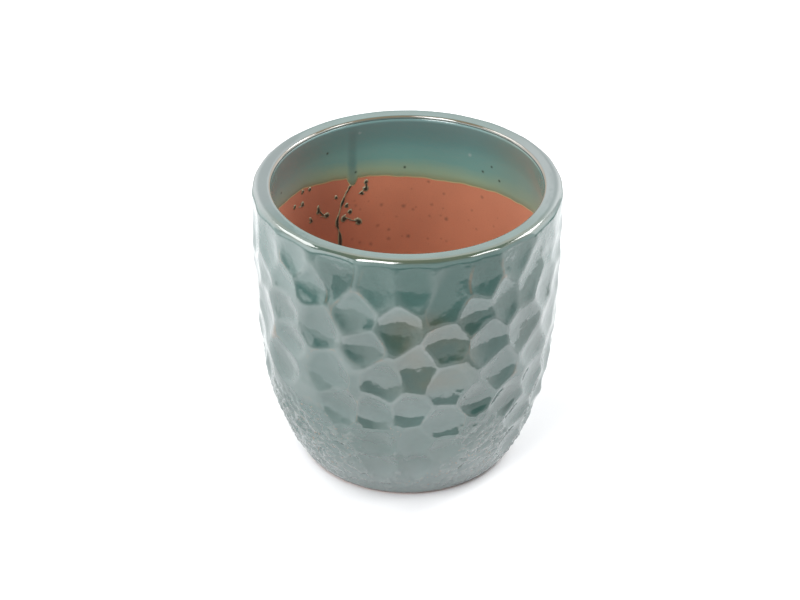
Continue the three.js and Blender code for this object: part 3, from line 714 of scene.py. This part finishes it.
# Painted shade: a dark olive band on the outer shoulder, on the camera's side only, where the shoulder mirrors
# the dim room; its olive is that of thin glaze.
front_shoulder_painted_shade = glaze_z.step(POT_HEIGHT - 3.2, POT_HEIGHT - 1.0) * glaze_radius.step(142.5, 145.5)
front_shoulder_painted_shade = front_shoulder_painted_shade * (1 - glaze_aside.step(40, 75)) * glaze_clouds.step(0.25, 0.55)
glaze_colour = glaze.blend(front_shoulder_painted_shade * 0.8, glaze_colour, (0.062, 0.072, 0.040))
lip_turn = (1 - glaze_radius.step(134.5, 136.2)) * glaze_z.step(LIP_HEIGHT + 1.0, LIP_HEIGHT + 2.0)
glaze_colour = glaze.blend(lip_turn * 0.8, glaze_colour, (0.15, 0.11, 0.065))
glaze.set(Base_Color=glaze_colour, Roughness=0.08, IOR=2.1)
ripple = glaze.noise(glaze.place, 70.0) + glaze_fine * 0.15
ripple = ripple * (1 - glaze_z.step(POT_HEIGHT - 6, POT_HEIGHT - 2) * 0.7)
glaze.bump(ripple, 0.0006)


def glaze_path(_angle):
    """The coat's path, the same all round: up its face from the bare foot to the lip, and down its back."""
    lowest = BARE_FOOT_HEIGHT + GLAZE_FOOT_EDGE
    foot = (wall_radius(BARE_FOOT_HEIGHT) - GLAZE_THICKNESS, BARE_FOOT_HEIGHT, BARE_FOOT_HEIGHT, 1.0)
    face = outer_path(0.0, lowest, rows=160, shoulder_steps=9, lip_steps=6)
    back = outer_path(GLAZE_BACK_DEPTH, lowest, rows=20, shoulder_steps=3, lip_steps=2)
    return [foot, *face, *back[::-1]]


outer_glaze = turned_blank("outer_glaze_coat", glaze_path, GLAZE_COLUMNS, glaze, ("height", "ease"))
outer_glaze = carved(outer_glaze, ROUGH_HEIGHT, glaze)
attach(outer_glaze, "root")
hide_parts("outer_glaze")

bpy.data.objects.remove(marks)

# Inner glaze band: the same glaze poured round inside the mouth while the pot was tipped, so its lower edge
# runs aslant. It is green where it lies thick, olive lower down and pale yellow along its thin edge.
BAND_DROP = 53.0
BAND_TILT = 24.0
BAND_LOWEST_ANGLE = 160.0
BAND_SAG = 9.0
BAND_SAG_TURNS = (226, 252, 262, 310)
BAND_COLUMNS = 480
BAND_FEATHER = 4.0
FEATHER_SHARES = (0.6, 0.25, 0.04, 0.0)
FEATHER_POWER = 0.8
BAND_BACK_DEPTH = 0.25
BAND_FADE = 62
STREAK_REACH = 16
TONGUE_ANGLE = 204.4
TONGUE_HALF_TURN = 2.47
TONGUE_POWER = 2.5
TONGUE_LENGTH = 9.0
# Waves of the lower edge: height, number round the pot and start in radians.
BAND_WAVES = [(0.5, 7, 1), (0.4, 19, 0), (0.25, 43, 2)]


def band_edge(angle):
    """The height of the band's lower edge at an angle: tilted, wavy, with a sag and a tongue above the run."""
    turn = math.radians(angle - BAND_LOWEST_ANGLE)
    wave = sum(height * math.sin(number * turn + start) for height, number, start in BAND_WAVES)
    aside = abs((angle - TONGUE_ANGLE + 180) % 360 - 180)
    tongue = TONGUE_LENGTH * max(0.0, 1 - (aside / TONGUE_HALF_TURN) ** TONGUE_POWER)
    start, low, high, end = BAND_SAG_TURNS
    sag = BAND_SAG * smooth_step(angle % 360, start, low) * (1 - smooth_step(angle % 360, high, end))
    return POT_HEIGHT - BAND_DROP - BAND_TILT * math.cos(turn) - wave - tongue - sag


def band_path(angle):
    """The band's path at an angle: down its face from the lip to a thin edge, and up its back in the clay."""
    edge = band_edge(angle)
    path = [(inner_radius(LIP_HEIGHT) - GLAZE_THICKNESS, LIP_HEIGHT)]
    for height in between(LIP_HEIGHT, edge + BAND_FEATHER, steps=18):
        path.append((inner_radius(height) - GLAZE_THICKNESS, height))
    for share in FEATHER_SHARES:
        height = edge + BAND_FEATHER * share
        path.append((inner_radius(height) - GLAZE_THICKNESS * share**FEATHER_POWER, height))
    for height in (edge, *between(edge, LIP_HEIGHT, steps=12)):
        path.append((inner_radius(height) + BAND_BACK_DEPTH, height))
    return [(radius, height, height, height - edge) for radius, height in path]


# Dark and pale dots in the band: angle, height and size.
BAND_DOTS = [
    (216.7, 270.5, 2.2), (181, 238.6, 2.2), (145.3, 247, 2.2), (140.7, 256.4, 1.8), (136.4, 243.6, 2.2),
    (247.3, 256.6, 1.8), (202.8, 238.7, 2.2),
]
BAND_PALE_DOTS = [(201.2, 286, 2.6), (151.8, 262.4, 3.0)]
band = Finish("green_band_glaze")
stretched = band.add("ShaderNodeVectorMath", {"operation": "MULTIPLY"}, {0: band.place, 1: (1, 1, 4)})
band_streaks = band.noise(stretched, 9.0, 4.0, 0.6)
band_fine = band.noise(band.place, 240.0, 3.0)
above_edge = band.attribute("above") + (band_streaks - 0.5) * STREAK_REACH
band_stops = [(0.0, (0.23, 0.29, 0.175)), (0.16, (0.195, 0.305, 0.22)), (0.38, (0.12, 0.265, 0.24)),
              (0.7, (0.105, 0.235, 0.225)), (1.0, (0.11, 0.205, 0.20))]
band_colour = band.add("ShaderNodeValToRGB", {"stops": band_stops}, {"Fac": above_edge * (1 / BAND_FADE)})
band_angle = band.around()[0]
brown_side = 1 - (band_angle + 110).maths("ABSOLUTE").step(8, 38)
band_colour = band.blend(brown_side * 0.6, band_colour, (0.135, 0.165, 0.158))
grey_side = 1 - (band_angle - 118).maths("ABSOLUTE").step(6, 36)
band_colour = band.blend(grey_side * 0.45, band_colour, (0.155, 0.185, 0.145))
streak = 1 - (band_angle - (TONGUE_ANGLE - 360)).maths("ABSOLUTE").step(0.4, 3.0)
streak = streak * (1 - band.attribute("height").step(250, 292) * 0.7)
band_colour = band.blend(streak * 0.34, band_colour, (0.045, 0.10, 0.095))
band_wander = band_fine * 1.6
for angle, height, size in BAND_DOTS:
    dark_dot = spot(band, angle, height, size, band_wander)
    band_colour = band.blend(dark_dot, band_colour, (0.03, 0.045, 0.035))
for angle, height, size in BAND_PALE_DOTS:
    pale_dot = spot(band, angle, height, size, band_wander) * 0.5
    band_colour = band.blend(pale_dot, band_colour, (0.30, 0.38, 0.36))
edge_line = 1 - (band.attribute("above") + band_fine * 0.6).step(1.2, 2.4)
band_colour = band.blend(edge_line * 0.9, band_colour, (0.50, 0.46, 0.25))
band.set(Base_Color=band_colour, Roughness=0.16, IOR=1.6)
band.bump(band_streaks, 0.002, 0.15)
inner_band = turned_blank("inner_glaze_band_coat", band_path, BAND_COLUMNS, band, ("height", "above"))
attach(inner_band, "root")
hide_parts("inner_glaze_band")

# Glaze run and splashes: drips of the same glaze that fell on the bare clay when the band was poured. Each
# is a low drop fired on to the wall, blackish green where it is thick, with a pale rim where it is thin.

# The run from top to bottom: angle, drop below the rim and half width.
RUN = [
    (205, 77, 3.0), (205.6, 79.5, 2.6), (206.2, 82, 1.0), (206.8, 84, 1.9), (207.6, 86.5, 1.0),
    (208.4, 90, 0.9), (208.9, 94, 2.1), (209.5, 97.5, 2.4), (210, 100.5, 1.0), (210.6, 105, 0.8),
    (211.3, 110, 0.9), (212, 114, 2.0), (212.2, 119, 2.4), (212.1, 123, 2.0), (211.6, 127, 0.9),
    (211.2, 131, 1.2), (211, 135, 2.4), (211, 140, 2.6), (211.1, 145, 3.0), (211.6, 149, 2.8),
    (212, 151.5, 1.8),
]
RUN_ROWS = 90
RUN_THIN_HALF = 0.8
RUN_THICK_HALF = 2.0
# The splashes: angle, drop below the rim, half width and half height.
SPLASHES = [
    (207.3, 101, 1.6, 2.2), (205.6, 109.5, 1.7, 2.2), (208.6, 116, 2.9, 3.6), (202, 123.6, 3.0, 3.8),
    (198, 77.5, 1.6, 2.4), (198, 85.4, 1.9, 2.6), (200, 89.8, 1.7, 1.9), (221.9, 95, 1.7, 5.0),
    (217.6, 105.5, 2.4, 2.4), (226.2, 103, 1.9, 2.9), (231, 78.6, 1.6, 2.4), (236.4, 76, 1.5, 2.1),
    (230.8, 64, 1.4, 1.8), (226.4, 65.5, 1.4, 1.8), (212.4, 87.7, 1.2, 1.5),
]
# Splashes with an arm, by their number: angle and drop below the rim where the arm ends.
SPLASH_ARMS = {
    3: (205.5, 118.5), 4: (206.2, 119), 6: (198, 79), 8: (219, 104.5), 9: (221, 104), 11: (233.5, 79.5),
}
SPLASH_ROWS = 15
SPLASH_KNOTS = 5
SPLASH_WIDTHS = (0.6, 1.3)
SPLASH_ASIDES = (-0.45, 0.45)
SPLASH_END = 0.98
ARM_HALF_WIDTH = 1.5
ARM_ROWS = 12
HALO = 1.0
DROP_THICKNESS = 0.9
DROP_BACK_DEPTH = 0.3
EASE_ROWS = 5
END_POWER = 12
END_LOSS = 0.9
THIN_END = 0.8
ARCH = np.linspace(-1, 1, 13)
drops = Finish("dark_glaze_drops")
drop_edge = drops.attribute("edge") + (drops.noise(drops.place, 500.0, 3.0) - 0.5) * 0.35
drop_stops = [(0.0, (0.018, 0.026, 0.020)), (0.45, (0.026, 0.036, 0.027)), (0.68, (0.17, 0.18, 0.125)),
              (1.0, (0.30, 0.27, 0.17))]
drops.set(Base_Color=drops.add("ShaderNodeValToRGB", {"stops": drop_stops}, {"Fac": drop_edge}))
drops.set(Roughness=0.2, IOR=1.6)


def drop_piece(name, node, lumps):
    """Drops of glaze on the inner wall as one object. Each lump is a list of sections down its length: angle,
    height, half width, thickness and how near the lump's end it is, from 0 to 1."""
    points, faces, edges = [], [], []
    for sections in lumps:
        first = len(points)
        for angle, height, half, thick, end in sections:
            for lifts in ((1 - ARCH**2) ** 0.5 * thick, np.full(len(ARCH), -DROP_BACK_DEPTH)):
                order = range(len(ARCH)) if lifts[0] == 0 else reversed(range(len(ARCH)))
                for k in order:
                    radius = inner_radius(height) - lifts[k]
                    turn = math.radians(angle) + ARCH[k] * half / radius
                    points.append((radius * math.sin(turn) * MM, -radius * math.cos(turn) * MM, height * MM))
                    edges.append((ARCH[k] ** 2 * (1 - end**2) + end**2) ** 0.5)
        size = 2 * len(ARCH)
        for row in range(len(sections) - 1):
            here, below = first + row * size, first + (row + 1) * size
            for k in range(size):
                after = (k + 1) % size
                faces.append((here + k, here + after, below + after, below + k))
        last = first + (len(sections) - 1) * size
        faces += [tuple(range(first + size - 1, first - 1, -1)), tuple(range(last, last + size))]
    piece = mesh_object(name, points, faces, drops)
    piece.data.attributes.new("edge", "FLOAT", "POINT").data.foreach_set("value", edges)
    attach(piece, "root")
    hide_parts(node)


def run_sections(table, steps):
    """Sections along a table of angle, drop and half width, eased between rows and narrowed at both ends."""
    places = np.linspace(0, len(table) - 1, steps)
    columns = [np.interp(places, range(len(table)), column) for column in zip(*table)]
    columns = [np.pad(column, EASE_ROWS // 2, mode="edge") for column in columns]
    columns = [np.convolve(column, np.ones(EASE_ROWS) / EASE_ROWS, mode="valid") for column in columns]
    sections = []
    for k, (angle, drop, half) in enumerate(zip(*columns)):
        end = abs(2 * k / (steps - 1) - 1) ** END_POWER
        narrow = (1 - END_LOSS * end) ** 0.5
        end = max(end, THIN_END * (1 - smooth_step(half, RUN_THIN_HALF, RUN_THICK_HALF)))
        sections.append((angle, POT_HEIGHT - drop, half * narrow, DROP_THICKNESS * narrow, end))
    return sections


def splash_sections(angle, drop, half_width, half_height, draw):
    """Sections of one round splash from top to bottom, of uneven width and not quite in line."""
    sections = []
    knots = range(SPLASH_KNOTS)
    places = np.linspace(0, SPLASH_KNOTS - 1, SPLASH_ROWS)
    wobbles = np.interp(places, knots, [draw.uniform(*SPLASH_WIDTHS) for _ in knots])
    asides = np.interp(places, knots, [draw.uniform(*SPLASH_ASIDES) for _ in knots])
    for along, wobble, aside in zip(np.linspace(SPLASH_END, -SPLASH_END, SPLASH_ROWS), wobbles, asides):
        share = (1 - along**2) ** 0.5
        height = POT_HEIGHT - drop + along * (half_height + HALO)
        half = (half_width + HALO) * share * wobble
        turn = angle + math.degrees(aside * half_width / inner_radius(height))
        sections.append((turn, height, half, DROP_THICKNESS * share, abs(along)))
    return sections


drop_piece("glaze_run_drip", "glaze_run", [run_sections(RUN, RUN_ROWS)])
splash_draw = random.Random(3)
for number, splash in enumerate(SPLASHES, 1):
    lumps = [splash_sections(*splash, splash_draw)]
    if number in SPLASH_ARMS:
        arm = [(*splash[:2], ARM_HALF_WIDTH), (*SPLASH_ARMS[number], ARM_HALF_WIDTH)]
        lumps.append(run_sections(arm, ARM_ROWS))
    drop_piece(f"splash_{number:02d}_drop", f"glaze_splash_{number:02d}", lumps)
